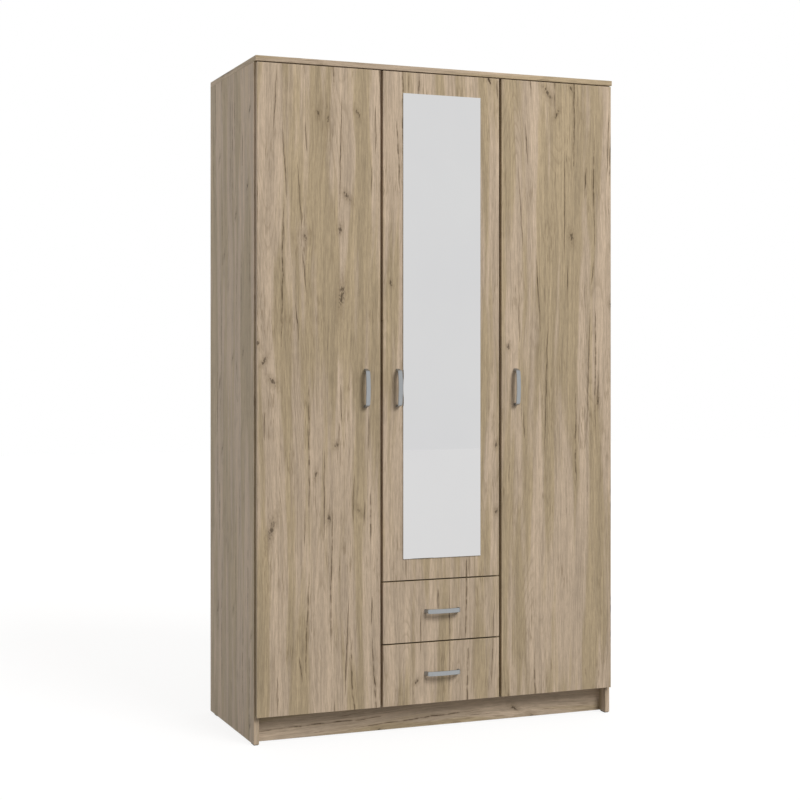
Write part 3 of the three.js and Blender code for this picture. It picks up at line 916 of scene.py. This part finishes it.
def add_hinge_arm(node, steel, wall_side):
    """Mounting plate on a board and the pressed arm over it; wall_side is +1 with the board on the right."""
    low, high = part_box(node)
    centre_z = (low.z + high.z) / 2
    wall_x = high.x + WALL_GAP if wall_side > 0 else low.x - WALL_GAP
    inward = -wall_side
    front_y = low.y
    depth = high.y - low.y
    bm = bmesh.new()
    # The plate's own axes: X along Y, Y along Z, height away from the wall
    rows = ((0, 0, inward, wall_x), (1, 0, 0, front_y + PLATE_MIDDLE), (0, 1, 0, centre_z), (0, 0, 0, 1))
    base = Matrix(rows)
    wings = rounded_rectangle(8 * MM, 26 * MM, 6 * MM)
    add_slab(bm, wings, [], WALL_GAP, PLATE_TOP, base)
    block = rounded_rectangle(15 * MM, 5.2 * MM, 1.2 * MM)
    add_slab(bm, block, [], PLATE_TOP, BLOCK_TOP, base)
    for sign in (-1, 1):
        spot = base @ Vector((0, sign * PLATE_SCREW_REACH, PLATE_TOP))
        add_screw(bm, spot, (inward, 0, 0), 4.0 * MM, 1.6 * MM)
    # The arm's top line, from its rear end behind the plate to its front end
    tall = abs((low.x if wall_side > 0 else high.x) - wall_x)
    rear = min(ARM_REAR_HEIGHT, tall)
    line = [
        (depth, BLOCK_TOP), (depth - 3 * MM, 11.0 * MM), (depth - 12 * MM, rear - 1 * MM), (28 * MM, rear),
        (16 * MM, 0.5 * (rear + tall)), (9 * MM, tall - 0.4 * MM), (3 * MM, tall - 1.5 * MM),
        (0.4 * MM, tall - 5 * MM),
    ]
    add_channel(bm, line, wall_x, inward, front_y, centre_z)
    for back in (depth - 22 * MM, depth - 36 * MM):
        spot = (wall_x + inward * (rear - 0.6 * MM), front_y + back, centre_z)
        add_screw(bm, spot, (inward, 0, 0), 3.2 * MM, 1.2 * MM)
    stand_in(node, "_arm", bm, steel)


def add_channel(bm, line, wall_x, inward, front_y, centre_z):
    """A U channel bent along a line of (behind the front, off the wall) points, open towards the wall."""
    half, skin, drop, bend = ARM_HALF, ARM_SKIN, ARM_DEPTH, ARM_BEND
    section = [
        (-half, -drop), (-half, -bend), (-half + bend, 0), (half - bend, 0), (half, -bend), (half, -drop),
        (half - skin, -drop), (half - skin, -skin), (-half + skin, -skin), (-half + skin, -drop),
    ]
    rings = []
    for back, out in line:
        ring = []
        for z, down in section:
            off_wall = max(out + down, ARM_CLEARANCE)
            ring.append(bm.verts.new((wall_x + inward * off_wall, front_y + back, centre_z + z)))
        rings.append(ring)
    loft(bm, rings)


# ---- the wardrobe

TUBE_WALL = 1 * MM
TUBE_LIP = 0.3 * MM
TUBE_SIDES = 48
FOLD_HALF_GAP = 0.8 * MM
TAPE_HALF_WIDTH = 14 * MM
TAPE_THICKNESS = 0.12 * MM
TAPE_END_GAP = 2 * MM
# The sheet is this much thinner than its CAD node, which leaves room for tape and nail heads
BACK_RELIEF = 0.4 * MM
NAIL_INSET = 7 * MM
NAIL_PITCH = 140 * MM
NAIL_FIRST = 120 * MM
PIN_INSET = 50 * MM
PIN_RADIUS = 2.5 * MM
PIN_LENGTH = 9 * MM
PIN_DROP = 2.55 * MM
COLLAR_RADIUS = 3.6 * MM
COLLAR_LENGTH = 1.6 * MM
CAM_INSET_X = 34 * MM
CAM_INSET_Y = 60 * MM
RUNNER_RADIUS = 1.6 * MM
RUNNER_SCREWS = (0.08, 0.5, 0.92)
GLIDE_RADIUS = 1.2 * MM


def add_mirror(material):
    """Float glass with a narrow polished bevel round its front."""
    low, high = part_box("mirror")
    bm = bmesh.new()
    centre = (low + high) / 2
    half_x, half_z = (high.x - low.x) / 2, (high.z - low.z) / 2
    levels = [(low.y, 1.2 * MM), (low.y + 0.8 * MM, 0.15 * MM), (low.y + 1.1 * MM, 0.0), (high.y, 0.0)]
    rings = []
    for y, inset in levels:
        outline = rounded_rectangle(half_x - inset, half_z - inset, 1.5 * MM, 4)
        rings.append([bm.verts.new((centre.x + u, y, centre.z + v)) for u, v in outline])
    loft(bm, rings)
    piece = add_piece("mirror_glass", bm, (material,), BODY_OF["mirror"], ["mirror"])
    piece.data.shade_flat()


def add_rail(node, chrome, socket_material, walls):
    """A hanging rail: the tube with rolled ends and a cup socket on the board at each end."""
    low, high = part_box(node)
    centre = (low + high) / 2
    radius = (high.z - low.z) / 2
    length = high.x - low.x
    inner = radius - TUBE_WALL
    profile = [
        (inner, 0), (radius - TUBE_LIP, 0), (radius, TUBE_LIP), (radius, length - TUBE_LIP),
        (radius - TUBE_LIP, length), (inner, length), (inner, 0),
    ]
    bm = bmesh.new()
    add_lathe(bm, profile, facing((low.x, centre.y, centre.z), (1, 0, 0)), TUBE_SIDES)
    stand_in(node, "_tube", bm, chrome)

    flange, outer, bore = radius + 8 * MM, radius + 2.6 * MM, radius + 0.4 * MM
    profile = [
        (0, 0.2 * MM), (flange, 0.2 * MM), (flange, 1.6 * MM), (flange - 0.8 * MM, 2.4 * MM),
        (outer + 0.6 * MM, 2.4 * MM), (outer, 3.0 * MM), (outer, 12 * MM), (outer - 0.7 * MM, 12.6 * MM),
        (bore, 12.6 * MM), (bore, 0.9 * MM), (0, 0.9 * MM),
    ]
    bm = bmesh.new()
    for wall_x, inward in zip(walls, (1, -1)):
        add_lathe(bm, profile, facing((wall_x, centre.y, centre.z), (inward, 0, 0)), TUBE_SIDES)
    smooth_edges(add_piece(node + "_sockets", bm, (socket_material,), BODY_OF[node]))


def add_back(material, tape):
    """The folded hardboard back: three fields and tape over the folds. Returns the sheet's outer face."""
    node = "back_panel"
    low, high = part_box(node)
    fold_x = [sum(end.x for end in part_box(side)) / 2 for side in ("partition_left", "partition_right")]
    outer_y = high.y - BACK_RELIEF
    centre_z, half_z = (low.z + high.z) / 2, (high.z - low.z) / 2
    bm = bmesh.new()
    edges = [low.x, *fold_x, high.x]
    for index in range(3):
        left = edges[index] + (FOLD_HALF_GAP if index else 0)
        right = edges[index + 1] - (FOLD_HALF_GAP if index < 2 else 0)
        field = rounded_rectangle((right - left) / 2, half_z, 1 * MM, 3)
        add_slab(bm, field, [], low.y, outer_y, facing_rear((left + right) / 2, centre_z))
    smooth_edges(add_piece("back_sheet", bm, (material,), BODY_OF[node], [node]))
    strip = rounded_rectangle(TAPE_HALF_WIDTH, half_z - TAPE_END_GAP, 1 * MM, 3)
    bm = bmesh.new()
    for x in fold_x:
        add_slab(bm, strip, [], outer_y, outer_y + TAPE_THICKNESS, facing_rear(x, centre_z))
    add_piece("back_fold_tape", bm, (tape,), BODY_OF[node])
    return outer_y


def add_nails(material, outer_y):
    """Round nail heads that hold the back to the carcass's rear edges."""
    low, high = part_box("back_panel")
    profile = [
        (0, -0.2 * MM), (3.4 * MM, -0.2 * MM), (3.3 * MM, 0.12 * MM), (2.2 * MM, 0.3 * MM), (0, 0.38 * MM),
    ]
    bm = bmesh.new()

    def row(start, end):
        count = max(2, round((end - start).length / NAIL_PITCH) + 1)
        for index in range(count):
            spot = start.lerp(end, index / (count - 1))
            add_lathe(bm, profile, facing(spot, (0, 1, 0)), 12)

    left, right = low.x + NAIL_INSET, high.x - NAIL_INSET
    for z in (low.z + NAIL_INSET, high.z - NAIL_INSET):
        row(Vector((left, outer_y, z)), Vector((right, outer_y, z)))
    for x in (left, right):
        row(Vector((x, outer_y, low.z + NAIL_FIRST)), Vector((x, outer_y, high.z - NAIL_FIRST)))
    smooth_edges(add_piece("back_nails", bm, (material,), "carcass"))


def add_shelf_pins(node, material):
    """Four steel pins under a loose shelf."""
    low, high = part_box(node)
    z = low.z - PIN_DROP
    bm = bmesh.new()
    for x, inward in ((low.x, 1), (high.x, -1)):
        for y in (low.y + PIN_INSET, high.y - PIN_INSET):
            pin = Vector((x + inward * PIN_LENGTH / 2, y, z))
            add_rod(bm, pin, (inward, 0, 0), PIN_RADIUS, PIN_LENGTH)
            collar = Vector((x + inward * 0.9 * MM, y, z - 1.6 * MM))
            add_rod(bm, collar, (inward, 0, 0), COLLAR_RADIUS, COLLAR_LENGTH)
    smooth_edges(add_piece(node + "_pins", bm, (material,), "carcass"))


def add_cams(material):
    """Cam fittings in the undersides of the fixed shelves and the deck, near the boards that hold them."""
    profile = [
        (0, 0.25 * MM), (3 * MM, 0.25 * MM), (3.4 * MM, 0.6 * MM), (7 * MM, 0.6 * MM),
        (7.4 * MM, 0.2 * MM), (7.4 * MM, -0.2 * MM), (0, -0.2 * MM),
    ]
    bm = bmesh.new()
    for node in ("hat_shelf_left", "hat_shelf_right", "drawer_deck"):
        low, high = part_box(node)
        for x in (low.x + CAM_INSET_X, high.x - CAM_INSET_X):
            for y in (low.y + CAM_INSET_Y, high.y - CAM_INSET_Y):
                add_lathe(bm, profile, facing((x, y, low.z), (0, 0, -1)), 28)
    smooth_edges(add_piece("cam_fittings", bm, (material,), "carcass"))


def add_runner(node, material, screw_material):
    """A moulded runner strip with rounded edges and its screws."""
    add_rounded(node, material, RUNNER_RADIUS)
    low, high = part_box(node)
    inward = 1 if low.x < 0 else -1
    face_x = high.x if inward > 0 else low.x
    centre_z = (low.z + high.z) / 2
    bm = bmesh.new()
    for part in RUNNER_SCREWS:
        y = low.y + (high.y - low.y) * part
        add_screw(bm, (face_x - inward * 0.9 * MM, y, centre_z), (inward, 0, 0), 3.0 * MM, 1.2 * MM)
    smooth_edges(add_piece(node + "_screws", bm, (screw_material,), BODY_OF[node]))


def build():
    level, deep, upright = 0, 1, 2
    decor = make_oak_decor()
    fronts = [
        make_oak("oak_front_x", decor, level, (2.1, 5.3)),
        make_oak("oak_front_y", decor, deep, (6.4, 3.9)),
        make_oak("oak_front_z", decor, upright, (3.7, 1.2), on_front=True),
    ]
    body = [
        make_oak("oak_body_x", decor, level, (8.9, 2.6)),
        make_oak("oak_body_y", decor, deep, (5.2, 7.7)),
        make_oak("oak_body_z", decor, upright, (4.4, 9.1)),
    ]
    hardboard = make_hardboard()
    satin = make_metal("satin_silver", srgb(160, 163, 165), 0.36, 0.48, (900.0, 900.0, 40.0))
    steel = make_metal("nickel_steel", srgb(206, 207, 205), 0.32, 0.42, (500.0, 60.0, 500.0))
    chrome = make_metal("chrome_tube", srgb(205, 207, 208), 0.06, 0.14, (20.0, 300.0, 300.0))
    mirror = make_mirror()
    dark_plastic = make_plastic("dark_plastic", srgb(52, 51, 48), 0.55)
    white_plastic = make_plastic("white_plastic", srgb(222, 220, 212), 0.42)
    tape = make_plastic("fold_tape", srgb(206, 196, 174), 0.5)

    for node in ("side_panel_left", "side_panel_right", "partition_left", "partition_right"):
        add_board(node, upright, body)
    shelves = ("hat_shelf_left", "hat_shelf_right", "middle_shelf_lower", "middle_shelf_upper")
    for node in ("top_panel", "bottom_panel", "plinth_front", "drawer_deck", *shelves):
        add_board(node, level, body)
    outer_y = add_back(hardboard, tape)
    add_nails(steel, outer_y)

    for node in frame["nodes"]:
        if node.startswith("glide_"):
            add_rounded(node, dark_plastic, GLIDE_RADIUS)
        if node.startswith("runner_"):
            add_runner(node, white_plastic, steel)

    side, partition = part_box("side_panel_left"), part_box("partition_left")
    add_rail("hanging_rail_left", chrome, steel, (side[1].x, partition[0].x))
    side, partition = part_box("side_panel_right"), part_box("partition_right")
    add_rail("hanging_rail_right", chrome, steel, (partition[1].x, side[0].x))

    for side, hinge_side in (("left", -1), ("middle", 1), ("right", 1)):
        add_board(f"door_panel_{side}", upright, fronts)
        add_handle(f"door_handle_{side}", satin)
        add_handle_screws(f"door_handle_{side}", f"door_panel_{side}", steel)
        for place in ("bottom", "centre", "top"):
            add_hinge_cup(f"hinge_cup_{side}_{place}", steel, hinge_side)
            add_hinge_arm(f"hinge_arm_{side}_{place}", steel, hinge_side)
    add_mirror(mirror)

    for drawer in ("upper", "lower"):
        add_board(f"drawer_{drawer}_front", upright, fronts)
        add_handle(f"drawer_{drawer}_handle", satin)
        add_handle_screws(f"drawer_{drawer}_handle", f"drawer_{drawer}_front", steel)
        for part, axis in (("side_left", deep), ("side_right", deep), ("back", level)):
            add_board(f"drawer_{drawer}_{part}", axis, body, FINE_EDGE_RADIUS)
        add_rounded(f"drawer_{drawer}_bottom", hardboard, SHEET_EDGE_RADIUS, 2)

    for node in shelves[2:]:
        add_shelf_pins(node, steel)
    add_cams(steel)


make_camera()
make_studio()
build()
